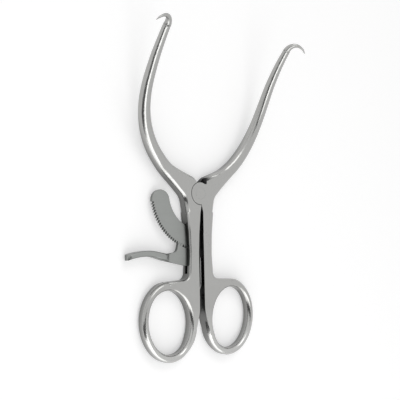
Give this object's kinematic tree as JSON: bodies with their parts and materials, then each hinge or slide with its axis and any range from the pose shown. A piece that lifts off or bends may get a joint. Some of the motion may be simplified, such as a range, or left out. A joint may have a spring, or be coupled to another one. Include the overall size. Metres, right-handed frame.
{
  "type": "self retaining retractor",
  "caption": "Self-retaining retractor: ring handles on a lap joint, bowed arms that end in sharp outward hooks, a curved ratchet rack and a sprung release lever.",
  "frame": {"origin": "pivot axis of the lap joint, at the flat underside of the shanks", "axes": "+Z along the pivot axis, from the underside to the front face; +Y from the joint towards the hooks; +X towards the right arm, seen from the front with the hooks up"},
  "size_m": [0.0948, 0.1616, 0.0388],
  "materials": {
    "forged_steel": "satin matte stainless steel with polished edges",
    "plate_steel": "satin stainless plate",
    "spring_steel": "bright spring steel strip"
  },
  "bodies": {
    "left_half": {"left_arm": "forged_steel", "pivot_pin": "forged_steel", "lever_pin": "forged_steel", "lever_spring": "spring_steel", "spring_screw": "plate_steel"},
    "right_half": {"right_arm": "forged_steel", "ratchet_rack": "plate_steel", "rack_pins": "forged_steel"},
    "lever": {"release_lever": "plate_steel"}
  },
  "joints": [
    {"name": "jaw_pivot", "type": "hinge", "parent": "left_half", "child": "right_half", "pos_m": [0, 0, 0], "axis": [0, 0, 1], "range_deg": [0, 51.3]},
    {"name": "lever_pivot", "type": "hinge", "parent": "left_half", "child": "lever", "pos_m": [-0.0045, -0.0312, 0], "axis": [0, 0, 1], "range_deg": [0, 9], "stiffness_Nm_per_rad": 0.07, "springref_deg": -8.59, "deforming": ["lever_spring"]}
  ]
}
